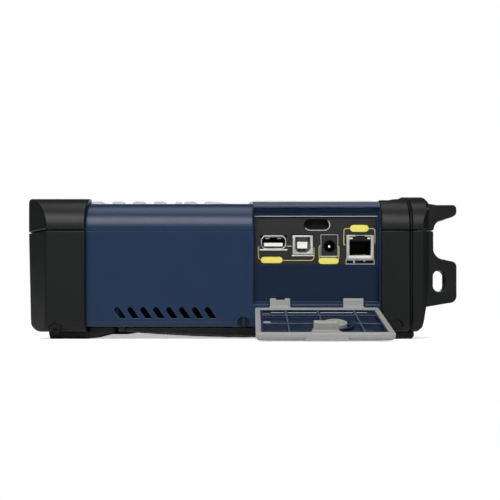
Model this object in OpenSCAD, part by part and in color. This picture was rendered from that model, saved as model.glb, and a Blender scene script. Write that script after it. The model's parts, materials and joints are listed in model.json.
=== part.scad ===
// Handheld vector network analyzer, lying on its back with the screen up.
// Working coordinates: u along the length from the bottom end, v across from the port side,
// z up from the feet.
// on_body() carries them into the part's frame: origin in the middle of the outline, at foot height.

/* [Body] */
// Length from the bottom end to the tips of the guard ears
length = 233; // [226:1:243]
// Width of the case from the port side to the fan side
width = 180; // [170:1:200]
// Height of the front face above the feet
front_z = 74.8; // [72:0.1:76]
// Height of the back face above the feet
back_z = 6.5; // [6:0.1:8]
// Height of the parting line between the upper and lower shells
seam_z = 58; // [56:0.5:60]
// Radius of the long front edges
front_r = 15; // [10:0.5:17]
// Thickness of the case walls
wall = 2.5; // [2:0.1:3]

/* [Bumpers] */
// How far the bumpers stand proud of the case
proud = 2.6; // [2:0.1:3]
// Length of the bottom bumper
bumper_low = 35; // [30:1:40]
// Where the top bumper starts, from the bottom end
bumper_top = 193.2; // [190:0.1:196]
// Thickness of a guard ear
ear_t = 6.6; // [5:0.1:8]

/* [Port bay] */
// Where the port bay starts, from the bottom end
bay_u = 124.9; // [120:0.1:126]
// Length of the port bay
bay_l = 67.6; // [66:0.1:68]
// Angle through which the port door opens
door_open = 105; // [95:1:106]
// Height of the port door when it is shut
door_h = 49.8; // [48:0.1:50]
// Thickness of the port door
door_t = 4; // [3.4:0.1:4]

/* [Keys] */
// Distance from one row of keys to the next
key_pitch = 11.7; // [11:0.1:12]
// How far a key travels when pressed
key_travel = 0.8; // [0.5:0.1:0.9]
// Height of the key tops above the feet
key_top = 77.4; // [77:0.1:78]

/* [Display] */
// Length of the display window along the body
window_l = 66; // [60:1:67]
// Width of the display window across the body
window_w = 132; // [120:1:134]

/* [RF ports] */
// Distance between the two coaxial test ports
port_gap = 76; // [60:1:90]
// Radius of the threaded barrel of a test port
barrel_r = 7.9; // [7.8:0.01:8]

/* [Hidden] */
$fn = 48;

blue = [0.13, 0.19, 0.30];
black = [0.15, 0.16, 0.15];
light_grey = [0.78, 0.79, 0.80];
seal_grey = [0.60, 0.61, 0.60];
metal = [0.75, 0.75, 0.74];
board_green = [0.05, 0.30, 0.16];

// The door shut: its foot, its outer and inner faces, and the pin that it turns on.
door_u = bay_u + 0.8;
door_l = bay_l - 1.6;
door_foot = 20.5;
door_face = 0.2;
pin_v = 2.8;
pin_z = 16.6;
pin_r = 0.75;
// How far the open door reaches out from the side of the case.
door_reach = 49.4;

bay_floor = 4.6;
hand_u0 = 54;
hand_u1 = 188.4;
hand_v = 12;
hand_w = 50;
notch_u = 119.6;
notch_z = 8.9;
notch_r = 3.1;
bay_back = 7;
bay_low = 20;
bay_high = 70.6;
panel_low = 40.2;
panel_high = 66.3;
panel_v = 5.6;
end_panel_u = 211;
band_z = 78.2;
band_v = 7;
// Where the bottom bumper and the guard ears end, along u.
foot_u = 1;
ear_root_u = 218.4;
tip_u = foot_u + length;
case_u0 = foot_u + proud;
case_u1 = 217.2;
strap_us = [133.7, 173];
strap_w = 10.9;
slot_top = 23;
latch_u = 159.5;
latch_z = 62;
pad_u = 165.2;
pad_z = 51;
pad_r = 6;

key_row_u = 33.9;
key_l = 7;
key_w = 16;
key_cols = [19, 44, 66, 88, 130];
key_col_w = [16, 16, 16, 16, 26];
soft_u = 97.1;
soft_l = 15.5;
soft_w = 24;
soft_pitch = 33;
power_u = 86;
fascia_u0 = 32.7;
fascia_u1 = 119;
fascia_v0 = 15.5;
fascia_z = front_z + 0.2;
fascia_t = 1.8;
fit_gap = 0.3;
bezel_u0 = 122;
bezel_u1 = 199;
bezel_v0 = 15.5;
bezel_z = 76.9;
window_u = 127.5;
cover_u0 = 60;
cover_u1 = 160;
cover_v0 = 86;
cover_v1 = 165;
fan_u = 84;
fan_z = 46;
fan_size = 30;

function wide(v) = width - v;

// Working coordinates into the part's frame.
module on_body() {
    translate([-foot_u - length / 2, (door_reach - proud - width) / 2, 0]) children();
}

// An outline in (v, z), drawn along the length from u0 to u1.
module along_length(u0, u1) {
    translate([u0, 0, 0]) rotate([90, 0, 90]) linear_extrude(u1 - u0) children();
}

// An outline in (u, z), drawn across the width from v0 to v1.
module along_width(v0, v1) {
    translate([0, v1, 0]) rotate([90, 0, 0]) linear_extrude(v1 - v0) children();
}

// A box from its low corner to its high corner.
module block(low, high) {
    translate(low) cube(high - low);
}

// A rectangle with a radius for its lower corners and one for its upper corners.
module rounded(x0, y0, x1, y1, r_low, r_high) {
    polygon([[x0 + r_low, y0], [x1 - r_low, y0], [x1, y0 + r_low], [x1, y1 - r_high],
        [x1 - r_high, y1], [x0 + r_high, y1], [x0, y1 - r_high], [x0, y0 + r_low]]);
    for (x = [x0 + r_low, x1 - r_low]) translate([x, y0 + r_low]) circle(r_low);
    for (x = [x0 + r_high, x1 - r_high]) translate([x, y1 - r_high]) circle(r_high);
}

// A slot with round ends, centred, standing upright.
module upright_slot(w, h) {
    square([w, h - w], center = true);
    for (s = [-1, 1]) translate([0, s * (h - w) / 2]) circle(w / 2);
}

// The body's outer form, grown on every side by g. Its bottom end has cut corners.
module body_form(g) {
    intersection() {
        along_length(case_u0 - g, case_u1 + g)
            rounded(-g, back_z - g, width + g, front_z + g, 3 + g, front_r + g);
        translate([0, 0, -10]) linear_extrude(100) polygon([
            [case_u0 - g, 12.5 - g / 2], [15.2 - g / 2, -g], [case_u1 + g - 4, -g], [case_u1 + g, 4 - g],
            [case_u1 + g, wide(4 - g)], [case_u1 + g - 4, wide(-g)], [15.2 - g / 2, wide(-g)],
            [case_u0 - g, wide(12.5 - g / 2)]]);
        along_width(-10, width + 10) rounded(case_u0 - g, back_z - g, case_u1 + g, front_z + g, 9, 3);
    }
}

// The outer form with the squared shoulder that carries the port bay past the round front edge.
module outer_form() {
    body_form(0);
    along_length(bay_u - 0.4, bumper_top)
        polygon([[0, 40], [0, 71], [3.2, front_z - 0.6], [17, front_z - 0.6], [17, 40]]);
}

// The block behind the bay, whose face the door shuts against.
module bay_block() {
    block([bay_u - 2.4, 0.5, 12.6], [bumper_top, bay_back, 72.4]);
}

// Everything cut away at the bay: the rebate, the panel's window and the hinge slots.
module bay_cuts() {
    block([bay_u, -8, bay_low], [bay_u + bay_l, bay_floor, bay_high]);
    along_length(bay_u, bay_u + bay_l)
        polygon([[-1, 18.4], [0, 18.6], [2.2, bay_low + 0.01], [-1, bay_low + 0.01]]);
    block([bay_u + 0.6, -1, panel_low], [bay_u + bay_l - 0.6, bay_back + 1, panel_high]);
    for (u = strap_us) block([u - 0.4, -8, 11.8], [u + strap_w + 0.4, 12.5, slot_top]);
    for (u = strap_us) translate([u - 3.4, pin_v, pin_z])
        rotate([0, 90, 0]) cylinder(r = pin_r, h = strap_w + 6.8);
}

// One cooling slot through a side wall, leaning by lean over its height h: round above, cut level below.
module vent(u, z, h, w, lean) {
    slant = sqrt(h * h + lean * lean);
    r = w / 2 * h / slant;
    translate([u, z]) {
        polygon([
            [w / 2 - r * h / slant, -r * lean / slant],
            [w / 2 + r * h / slant, r * lean / slant],
            [w + lean, -h],
            [lean, -h]
        ]);
        translate([w / 2, 0]) circle(r);
    }
}

// Openings in the front face for the keypad and the display.
module front_cuts() {
    block([fascia_u0, fascia_v0, 60], [fascia_u1, wide(fascia_v0), 90]);
    block([bezel_u0 + 2, bezel_v0 + 2, 60], [bezel_u1 - 2, wide(bezel_v0 + 2), 90]);
    block([bezel_u0, bezel_v0, front_z], [bezel_u1, wide(bezel_v0), 90]);
}

module case_shell() {
    difference() {
        union() {
            difference() {
                outer_form();
                body_form(-wall);
            }
            intersection() {
                outer_form();
                bay_block();
            }
        }
        bay_cuts();
        block([end_panel_u, -10, 0], [case_u1 + 10, width + 10, 90]);
    }
}

module upper_case() {
    color(blue) on_body() difference() {
        intersection() {
            case_shell();
            block([-5, -10, seam_z], [250, width + 10, 100]);
        }
        front_cuts();
    }
}

// A hollow boss that takes a case screw from below, its head sunk in the floor.
module screw_boss(u, v) {
    translate([u, v, back_z + 1]) difference() {
        cylinder(r = 4.6, h = seam_z - back_z - 1.2);
        translate([0, 0, -2]) cylinder(r = 3.2, h = 6.5);
        cylinder(r = 1.6, h = seam_z);
    }
}

function boss_places() = [for (u = [50, 116]) for (v = [9, 171]) [u, v]];
function cover_screw_places() =
    [for (u = [cover_u0 + 5, cover_u1 - 5]) for (v = [cover_v0 + 5, cover_v1 - 5]) [u, v]];

module lower_case() {
    color(blue) on_body() {
        difference() {
            intersection() {
                case_shell();
                block([-5, -10, -5], [250, width + 10, seam_z]);
            }
            along_width(-1, wall + 1) for (i = [0:7]) vent(50.1 + 6.93 * i, 15.8, 4.5, 3.3, 3.1);
            along_width(wide(wall + 1), width + 1) for (i = [0:6]) vent(65 + 6 * i, 55, 14, 3, 0);
            block([cover_u0, cover_v0, 0], [cover_u1, cover_v1, back_z + wall + 1]);
            for (p = boss_places()) translate([p[0], p[1], 0]) cylinder(r = 3.2, h = 12);
            along_width(-1, 1.2) {
                translate([notch_u, notch_z]) circle(notch_r);
                translate([notch_u - notch_r, 5]) square([2 * notch_r, notch_z - 5]);
            }
        }
        for (p = boss_places()) screw_boss(p[0], p[1]);
    }
}

// A bumper: the grown form less the case inside it.
module bumper_form(u0, u1) {
    intersection() {
        difference() {
            body_form(proud);
            body_form(0);
        }
        block([u0, -10, 0], [u1, width + 10, 100]);
    }
}

// Pockets with an arched top, sunk into a bumper's lower edge for its screws.
module arch_pockets(u, z) {
    for (s = [[-proud - 1, -proud + 1.6], [width + proud - 1.6, width + proud + 1]])
        along_width(s[0], s[1]) {
            translate([u, z]) circle(3.6);
            translate([u - 3.6, -2]) square([7.2, z + 2]);
        }
}

module bottom_bumper_upper() {
    color(black) on_body() difference() {
        intersection() {
            bumper_form(-5, bumper_low);
            block([-5, -10, seam_z + 0.5], [60, width + 10, 100]);
        }
        block([fascia_u0 - 0.2, fascia_v0 - 0.4, front_z - 1], [60, wide(fascia_v0 - 0.4), 90]);
    }
}

module bottom_bumper_lower() {
    color(black) on_body() difference() {
        intersection() {
            bumper_form(-5, bumper_low);
            block([-5, -10, 0], [60, width + 10, seam_z]);
        }
        along_width(-10, width + 10)
            polygon([
                [-1, seam_z + 1], [foot_u, seam_z + 1], [foot_u, seam_z],
                [foot_u + 1.6, 8], [foot_u + 1.6, 0], [-1, 0]
            ]);
        arch_pockets(19, 5);
    }
}

// The flat raised band across the top of the collar.
module collar_band() {
    intersection() {
        along_width(band_v, wide(band_v))
            polygon([
                [201.8, 75.2], [206.9, band_z], [217.8, band_z],
                [219.2, band_z - 1.2], [219.5, 74.6], [217, 74.6]
            ]);
        along_length(200, 220)
            polygon([
                [band_v, band_z - 5.2], [band_v + 5.2, band_z],
                [wide(band_v + 5.2), band_z], [wide(band_v), band_z - 5.2]
            ]);
    }
}

// The top bumper with its groove, open in the middle for the test ports.
module collar_form() {
    collar_band();
    difference() {
        union() {
            bumper_form(bumper_top, end_panel_u + 2.5);
            difference() {
                intersection() {
                    body_form(proud);
                    block([end_panel_u + 2.5, -10, 0], [240, width + 10, 100]);
                }
                along_length(end_panel_u, 240) rounded(6.4, 12.5, wide(6.4), 68, 4, 10);
            }
        }
        along_width(-10, width + 10)
            polygon([[219.8, 45], [217.6, 18], [215.2, 6.5], [212.5, 3], [212.5, 0], [230, 0], [230, 45]]);
        difference() {
            along_length(208.5, 209.7) square([3 * width, 200], center = true);
            body_form(proud - 0.9);
        }
        along_width(-10, width + 10)
            polygon([[190, front_z + 1], [198.6, front_z + 1], [204, front_z + proud], [204, 90], [190, 90]]);
    }
}

// Both guard ears of one outline, one at each side.
module ears(low_z, high_z) {
    intersection() {
        union() {
            along_width(0.3, 0.3 + ear_t) children();
            along_width(wide(0.3 + ear_t), wide(0.3)) children();
        }
        block([end_panel_u + 2.5, -10, low_z], [tip_u + 1, width + 10, high_z]);
        union() {
            body_form(proud);
            block([ear_root_u, -10, 0], [tip_u + 1, width + 10, 100]);
        }
    }
}

module upper_ear_outline() {
    difference() {
        union() {
            polygon([[213, 57], [213, 73.4], [216.8, 73.2], [223.3, 72.1], [231.8, 72.1], [233.2, 71],
                [tip_u, 69], [233.8, 67.2], [232.6, 66.1], [227.2, 64.4], [227.2, 57]]);
            translate([231.8, 70]) circle(2.1);
        }
        translate([227.3, 58.6]) circle(5.6);
        translate([227.2, 50]) square([10, 12]);
    }
}

module lower_ear_outline() {
    difference() {
        union() {
            polygon([[213, 60], [221.5, 60], [221.5, 42.7], [227.5, 42.7], [231, 41.9], [tip_u, 38.9],
                [tip_u, 23.4], [230.6, 19.5], [217, 17.2], [213, 17]]);
            translate([tip_u - 3, 38.9]) circle(3);
            translate([tip_u - 3.6, 23.1]) circle(3.6);
            translate([221.4, 42]) square([6.2, 7]);
        }
        translate([227.5, 48.8]) circle(6);
        translate([224.45, 31.2]) upright_slot(6.3, 11.4);
    }
}

module top_bumper_upper() {
    color(black) on_body() difference() {
        union() {
            intersection() {
                collar_form();
                block([190, -10, seam_z + 0.5], [240, width + 10, 100]);
            }
            ears(seam_z + 0.5, 80) upper_ear_outline();
        }
        block([190, bezel_v0 - 0.5, front_z - 1], [bezel_u1 + 0.3, wide(bezel_v0 - 0.5), 90]);
    }
}

module top_bumper_lower() {
    color(black) on_body() difference() {
        union() {
            intersection() {
                collar_form();
                block([190, -10, 0], [240, width + 10, seam_z]);
            }
            ears(0, seam_z) lower_ear_outline();
        }
        arch_pockets(201, 7);
    }
}

// The opening in the fascia for one key, with clearance all round.
module key_hole(u, v, l, w) {
    block([u - fit_gap, v - fit_gap, 60], [u + l + fit_gap, v + w + fit_gap, 90]);
}

function row_u(r) = key_row_u + key_pitch * (r - 1);
function soft_v(i) = 21 + soft_pitch * (i - 1);

module keypad_fascia() {
    color(light_grey) on_body() difference() {
        union() {
            block([fascia_u0, fascia_v0, fascia_z - fascia_t], [fascia_u1, wide(fascia_v0), fascia_z]);
            along_width(fascia_v0 + 2, wide(fascia_v0 + 40))
                polygon([[81.2, fascia_z], [82, 76.4], [84.4, 76.4], [84.9, fascia_z]]);
        }
        for (r = [1:4]) for (c = [0:4]) key_hole(row_u(r), key_cols[c], key_l, key_col_w[c]);
        for (i = [1:4]) key_hole(soft_u, soft_v(i), soft_l, soft_w);
        key_hole(power_u, key_cols[0], key_l, key_w);
        for (v = [60:12:96]) block([88, v, 60], [90, v + 7, 90]);
    }
}

// A moulded key: a cap with bevelled edges and a flange under the fascia.
module key_shape(u, v, l, w, top) {
    flange_z = fascia_z - fascia_t - fit_gap;
    block([u - 1, v - 1, flange_z - 1], [u + l + 1, v + w + 1, flange_z]);
    block([u, v, flange_z - 0.5], [u + l, v + w, top - 0.9]);
    intersection() {
        along_width(v, v + w) polygon([[u, 74], [u, top - 1.2], [u + 1.2, top], [u + l - 1.6, top],
            [u + l, top - 2], [u + l, 74]]);
        along_length(u, u + l) polygon([[v, 74], [v, top - 1.2], [v + 1.2, top], [v + w - 1.2, top],
            [v + w, top - 1.2], [v + w, 74]]);
    }
}

module key(r, c) {
    color(light_grey) on_body() key_shape(row_u(r), key_cols[c - 1], key_l, key_col_w[c - 1], key_top);
}

// A long key that falls away towards the display.
module soft_key(i) {
    flange_z = fascia_z - fascia_t - fit_gap;
    v = soft_v(i);
    color(light_grey) on_body() {
        block([soft_u - 1, v - 1, flange_z - 1], [soft_u + soft_l + 1, v + soft_w + 1, flange_z]);
        along_width(v, v + soft_w)
            polygon([
                [soft_u, flange_z - 0.5], [soft_u, key_top - 1], [soft_u + 1, key_top], [soft_u + 4, key_top],
                [soft_u + soft_l, fascia_z + 1], [soft_u + soft_l, flange_z - 0.5]
            ]);
    }
}

module power_key() {
    color(light_grey) on_body() key_shape(power_u, key_cols[0], key_l, key_w, key_top);
}

module display_bezel() {
    color(light_grey) on_body() difference() {
        union() {
            translate([0, 0, front_z]) linear_extrude(bezel_z - front_z - 0.8)
                rounded(bezel_u0, bezel_v0, bezel_u1, wide(bezel_v0), 5, 5);
            translate([0, 0, bezel_z - 0.8]) linear_extrude(0.8)
                rounded(bezel_u0 + 0.8, bezel_v0 + 0.8, bezel_u1 - 0.8, wide(bezel_v0 + 0.8), 5, 5);
            block(
                [bezel_u0 + 2, bezel_v0 + 2, front_z - 2.5],
                [bezel_u1 - 2, wide(bezel_v0 + 2), front_z + 0.1]
            );
        }
        block([window_u, (width - window_w) / 2, 60], [window_u + window_l, (width + window_w) / 2, 90]);
        block([window_u - 2, (width - window_w) / 2 - 2, 60],
            [window_u + window_l + 2, (width + window_w) / 2 + 2, bezel_z - 1.2]);
    }
}

module display_window() {
    color([0.05, 0.07, 0.09]) on_body()
        block([window_u - 2, (width - window_w) / 2 - 2, bezel_z - 3.4],
            [window_u + window_l + 2, (width + window_w) / 2 + 2, bezel_z - 1.2]);
}

module display_module() {
    color(metal) on_body() {
        block([window_u - 1.5, (width - window_w) / 2 - 1.5, bezel_z - 9],
            [window_u + window_l + 1.5, (width + window_w) / 2 + 1.5, bezel_z - 3.4]);
        block([window_u + 10, width / 2 - 30, bezel_z - 11], [window_u + 40, width / 2 + 30, bezel_z - 9]);
    }
}

module keypad_board() {
    board_top = fascia_z - fascia_t - fit_gap - 1 - key_travel - 0.4;
    color(board_green) on_body()
        block([30, fascia_v0 + 1, board_top - 1.6], [fascia_u1 - 2, wide(fascia_v0 + 1), board_top]);
}

// The black plate that the sockets look through.
module port_panel() {
    color(black) on_body() difference() {
        block([bay_u + 0.6, panel_v, panel_low], [bay_u + bay_l - 0.6, panel_v + 1.8, panel_high]);
        along_width(0, 20) translate([latch_u, latch_z]) rotate(90) upright_slot(6, 14);
        block([128.7, 0, 48.4], [142.9, 20, 56.3]);
        block([145.9, 0, 45.7], [157.6, 20, 56.6]);
        block([161.4, 0, 44.9], [170.9, 20, 56.8]);
        block([175.3, 0, 43.2], [190.5, 20, 56.6]);
        block([175.6, 0, 40.8], [190.2, 20, 42.7]);
    }
}

// A label with round ends, standing a little off the panel.
module pill(u0, u1, z0, z1) {
    r = (z1 - z0) / 2;
    along_width(panel_v - 0.3, panel_v) {
        translate([u0 + r, z0]) square([u1 - u0 - 2 * r, 2 * r]);
        for (u = [u0 + r, u1 - r]) translate([u, z0 + r]) circle(r);
    }
}

module port_labels() {
    color([0.90, 0.86, 0.30]) on_body() {
        pill(128.9, 140.7, 41.2, 44.6);
        pill(160.3, 171.2, 40.7, 44.1);
        pill(177.4, 187.5, 58.2, 62);
    }
}

module usb_host_port() {
    color(metal) on_body() {
        difference() {
            along_width(panel_v + 0.2, 20) polygon([[130.4, 48.7], [141.2, 48.7], [142.7, 50.2],
                [142.7, 54.5], [141.2, 56], [130.4, 56], [128.9, 54.5], [128.9, 50.2]]);
            block([129.5, 0, 49.9], [142.1, 19, 54.8]);
            block([130.1, 0, 49.3], [141.5, 19, 55.4]);
        }
        block([130.6, 7.2, 50.4], [140.8, 19.2, 52.3]);
    }
}

module usb_device_port() {
    color(metal) on_body() {
        difference() {
            block([146.1, panel_v + 0.2, 45.9], [157.4, 21, 56.4]);
            along_width(0, 20) polygon([[149.6, 46.9], [153.9, 46.9], [155.9, 48.9], [155.9, 55.4],
                [147.6, 55.4], [147.6, 48.9]]);
        }
        block([149.3, 8, 49.3], [154.3, 20.2, 52.9]);
    }
}

module dc_jack() {
    color(black) on_body() {
        difference() {
            block([161.6, panel_v + 0.2, 45.1], [170.7, 19, 56.6]);
            translate([166.3, 0, 50.4]) rotate([-90, 0, 0]) cylinder(r = 3.1, h = 16);
        }
        translate([166.3, 9, 50.4]) rotate([-90, 0, 0]) cylinder(r = 1.05, h = 7.5);
    }
}

module lan_port() {
    color(metal) on_body() difference() {
        block([175.5, panel_v + 0.2, 43.4], [190.3, 26, 56.4]);
        block([177.1, 0, 45.4], [188.7, 22, 53.4]);
        block([180.2, 0, 53], [185.6, 20, 55.6]);
    }
}

module port_board() {
    color(board_green) on_body() {
        block([127, 9, 37.4], [192, 44, 39]);
        block([130, 9, 39], [141.6, 19, 48.7]);
        block([147, 9, 39], [156.6, 20, 45.9]);
        block([162.4, 9, 39], [170, 18, 45.1]);
        block([176.4, 18, 39], [189.4, 24, 43.4]);
    }
}

// Turns what is drawn shut into the open position that the door rests in.
module opened_door() {
    translate([0, pin_v, pin_z]) rotate([door_open, 0, 0]) translate([0, -pin_v, -pin_z]) children();
}

// The door's blue plate with the ribs on its inner face, drawn shut.
module port_door() {
    seal = 2.7;
    u0 = door_u + seal;
    u1 = door_u + door_l - seal;
    z0 = door_foot + seal;
    z1 = door_foot + door_h - seal;
    color(blue) on_body() opened_door() difference() {
        union() {
            block([u0, door_face + 0.6, z0], [u1, door_face + 2, z1]);
            difference() {
                block([u0, door_face + 0.6, z0], [u1, door_face + 3.4, z1]);
                block([u0 + 1.2, door_face + 1, z0 + 1.2], [u1 - 1.2, 9, z1 - 1.2]);
            }
            for (z = [z0 + 4.8, z0 + 10.3, z0 + 26.5])
                block([u0, door_face + 1, z], [u1, door_face + 3.2, z + 0.9]);
            for (u = [u0 + 13, u0 + 30, u0 + 49])
                block([u, door_face + 1, z0], [u + 0.9, door_face + 3.2, z1]);
            for (z = [z0 + 8, z0 + 24.8])
                block([u0 + 1, door_face + 1, z], [u0 + 5, door_face + 3.6, z + 1.8]);
            translate([pad_u, door_face + 1, pad_z]) rotate([-90, 0, 0]) difference() {
                cylinder(r = 9.4, h = 2.2);
                translate([0, 0, 1]) cylinder(r = 8.4, h = 3);
            }
        }
        along_width(0, 9) latch_outline(0.01);
        translate([pad_u, 0, pad_z]) rotate([-90, 0, 0]) cylinder(r = pad_r, h = 9);
    }
}

// The arched block of seal that carries the latch tab, grown by g.
module latch_outline(g) {
    top = door_foot + door_h - 2;
    polygon([[latch_u - 11 - g, top], [latch_u - 8.4 - g, top - 2.6], [latch_u - 6.6 - g, top - 5],
        [latch_u - 6.6 - g, latch_z - 2.2 - g], [latch_u + 6.6 + g, latch_z - 2.2 - g],
        [latch_u + 6.6 + g, top - 5], [latch_u + 8.4 + g, top - 2.6], [latch_u + 11 + g, top]]);
}

// The soft seal moulded round the door, with its latch, jack pad and hinge arms, drawn shut.
module door_seal() {
    seal = 2.7;
    face = door_face + door_t;
    high = door_foot + door_h;
    cut_v = door_face + 1.8;
    color(seal_grey) on_body() opened_door() difference() {
        union() {
            difference() {
                intersection() {
                    along_length(door_u, door_u + door_l) polygon([[door_face, door_foot], [face, door_foot],
                        [face, high], [cut_v, high], [door_face, high - 1.2]]);
                    translate([0, 0, door_foot]) linear_extrude(door_h)
                        polygon([
                            [door_u, face], [door_u, cut_v], [door_u + 1.2, door_face],
                            [door_u + door_l - 1.2, door_face], [door_u + door_l, cut_v], [door_u + door_l, face]
                        ]);
                }
                block([door_u + seal, -1, door_foot + seal], [door_u + door_l - seal, 9, high - seal]);
            }
            along_width(door_face, face - 0.6) latch_outline(0);
            block([latch_u - 5.9, face - 1, latch_z - 1.8], [latch_u + 5.9, face + 3.8, latch_z + 1.8]);
            translate([pad_u, door_face + 0.6, pad_z])
                rotate([-90, 0, 0]) cylinder(r = pad_r, h = door_t - 0.2);
            for (u = strap_us) {
                along_length(u, u + strap_w) translate([pin_v, pin_z]) circle(2.1);
                along_length(u, u + strap_w) polygon([[0.9, 17], [2.6, 14.5], [4.9, 15.6], [7.6, 16.1],
                    [8.35, 16.7], [8.65, 17.5], [8.4, 18.5], [4.6, 19.7], [4.2, 21], [0.9, 21]]);
            }
        }
        for (u = strap_us) translate([u - 1, pin_v, pin_z]) rotate([0, 90, 0])
            cylinder(r = pin_r + 0.05, h = strap_w + 2);
    }
}

module door_hinge_pins() {
    color(metal) on_body() for (u = strap_us) translate([u - 3.2, pin_v, pin_z]) rotate([0, 90, 0])
        cylinder(r = pin_r, h = strap_w + 6.4);
}

// The padded hand strap along the back, bowed down a little between its anchors.
// The padded strap lies under the back and bows down between its anchors.
module hand_strap() {
    step = (hand_u1 - hand_u0) / 12;
    bow = [for (i = [0:12]) [hand_u0 + step * i, 3.5 - 2.9 * sin(15 * i)]];
    color([0.2, 0.2, 0.2]) on_body() along_width(hand_v, hand_v + hand_w)
        polygon(concat([[hand_u1, 6.2], [hand_u0, 6.2]], bow));
}

module strap_anchors() {
    color(metal) on_body() for (u = [hand_u0 - 3.7, hand_u1 + 0.1])
        block([u, hand_v - 1, 3.6], [u + 3.6, hand_v + hand_w + 1, back_z]);
}

module battery_pack() {
    color([0.2, 0.2, 0.22]) on_body()
        block([cover_u0 + 2, cover_v0 + 2, 10.4], [cover_u1 - 2, cover_v1 - 2, 32]);
}

module battery_cover() {
    color(black) on_body() difference() {
        union() {
            block([cover_u0, cover_v0, back_z + 0.2], [cover_u1, cover_v1, back_z + wall]);
            for (v = [98, 122, 146])
                block([cover_u0 + 6, v, back_z + wall], [cover_u1 - 6, v + 2, back_z + wall + 1.2]);
        }
        for (p = cover_screw_places()) translate([p[0], p[1], 0]) cylinder(r = 2.6, h = back_z + 1.4);
    }
}

module main_board() {
    color(board_green) on_body() {
        difference() {
            block([20, 14, 36], [200, 156, 37.6]);
            block([120, 0, 30], [196, 46, 40]);
        }
        block([60, 60, 37.6], [88, 88, 40]);
        block([100, 90, 37.6], [116, 112, 39.4]);
        block([40, 110, 37.6], [56, 122, 41]);
    }
}

module rf_board() {
    color(board_green) on_body() block([140, 52, 48.4], [206, 150, 50]);
}

module rf_shield() {
    color(metal) on_body() difference() {
        block([142, 54, 50], [204, 148, 61]);
        block([143, 55, 49], [203, 147, 60]);
    }
}

module fan_frame() {
    half = fan_size / 2;
    color(black) on_body() difference() {
        block([fan_u - half, wide(11), fan_z - half + 4], [fan_u + half, wide(wall), fan_z + half - 4]);
        translate([fan_u, wide(12), fan_z]) rotate([-90, 0, 0]) cylinder(r = 10.4, h = 7.5);
        along_width(wide(12), width) translate([fan_u, fan_z]) difference() {
            circle(9.6);
            circle(4.2);
            for (a = [0:120:240]) rotate(a) translate([0, -0.8]) square([12, 1.6]);
        }
    }
}

module fan_rotor() {
    color([0.1, 0.1, 0.1]) on_body() translate([fan_u, wide(10.6), fan_z]) rotate([-90, 0, 0]) {
        cylinder(r = 4.6, h = 5.6);
        for (a = [0:51.4:330]) rotate(a) translate([4, 0, 1]) rotate([28, 0, 0]) translate([0, -0.4, -0.4])
            cube([5.6, 0.8, 4.4]);
    }
}

function rf_v(i) = width / 2 + (i == 1 ? -1 : 1) * port_gap / 2;
rf_z = 40;

module rf_end_panel() {
    color(metal) on_body() difference() {
        block([end_panel_u, wall, back_z + wall], [end_panel_u + 2.5, wide(wall), front_z - wall]);
        for (i = [1, 2]) translate([end_panel_u - 1, rf_v(i), rf_z])
            rotate([0, 90, 0]) cylinder(r = 8.05, h = 5);
        for (v = [0, width]) for (z = [0, 100]) translate([end_panel_u - 1, v, z]) rotate([0, 90, 0])
            cylinder(r = 26 + (z > 0 ? 8 : -12), h = 5);
    }
}

// A coaxial test port: flange, threaded barrel, outer bore and centre contact.
module rf_port(i) {
    color(metal) on_body() translate([end_panel_u, rf_v(i), rf_z]) rotate([0, 90, 0]) {
        difference() {
            union() {
                translate([0, 0, -8]) cylinder(r = 8, h = 12);
                translate([0, 0, 2.5]) cylinder(r = 11, h = 3, $fn = 6);
                cylinder(r = barrel_r, h = 21);
            }
            translate([0, 0, 11]) cylinder(r = 4.3, h = 12);
        }
        cylinder(r = 1.5, h = 17);
    }
}

// Skids under the bottom end and pads under the top end.
module rubber_feet() {
    color(black) on_body() {
        for (v = [8, wide(40)]) along_width(v, v + 32)
            polygon([
                [12.6, back_z - proud], [13.6, 0], [34, 0], [bumper_low, 0.2], [bumper_low, back_z - proud]
            ]);
        for (v = [8, wide(40)]) along_width(v, v + 32)
            polygon([[bumper_low, 0.2], [48.5, 3.6], [48.5, back_z], [bumper_low, back_z]]);
        for (v = [6, wide(30)]) along_width(v, v + 24)
            polygon([[201.3, back_z - proud], [201.9, 0], [211, 0], [212.4, 1.6], [212.4, back_z - proud]]);
    }
}

module cover_screws() {
    color(metal) on_body() {
        for (p = cover_screw_places()) translate([p[0], p[1], back_z + 0.4]) cylinder(r = 2.4, h = 1);
        for (p = boss_places()) translate([p[0], p[1], 8.5]) {
            cylinder(r = 3, h = 3.5);
            cylinder(r = 1.5, h = 20);
        }
    }
}

upper_case();
lower_case();
bottom_bumper_upper();
bottom_bumper_lower();
top_bumper_upper();
top_bumper_lower();
keypad_fascia();
display_bezel();
display_window();
display_module();
port_panel();
port_labels();
usb_host_port();
usb_device_port();
dc_jack();
lan_port();
port_board();
port_door();
door_seal();
door_hinge_pins();
hand_strap();
strap_anchors();
battery_pack();
battery_cover();
main_board();
rf_board();
rf_shield();
keypad_board();
fan_frame();
fan_rotor();
rf_end_panel();
rf_port(1);  // rf_port_1
rf_port(2);  // rf_port_2
rubber_feet();
cover_screws();
key(1, 1);  // key_1_1
key(1, 2);  // key_1_2
key(1, 3);  // key_1_3
key(1, 4);  // key_1_4
key(1, 5);  // key_1_5
key(2, 1);  // key_2_1
key(2, 2);  // key_2_2
key(2, 3);  // key_2_3
key(2, 4);  // key_2_4
key(2, 5);  // key_2_5
key(3, 1);  // key_3_1
key(3, 2);  // key_3_2
key(3, 3);  // key_3_3
key(3, 4);  // key_3_4
key(3, 5);  // key_3_5
key(4, 1);  // key_4_1
key(4, 2);  // key_4_2
key(4, 3);  // key_4_3
key(4, 4);  // key_4_4
key(4, 5);  // key_4_5
soft_key(1);  // soft_key_1
soft_key(2);  // soft_key_2
soft_key(3);  // soft_key_3
soft_key(4);  // soft_key_4
power_key();
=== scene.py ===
import json
import math

import bmesh
import bpy
from mathutils import Matrix, Vector
from mathutils.bvhtree import BVHTree


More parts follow.
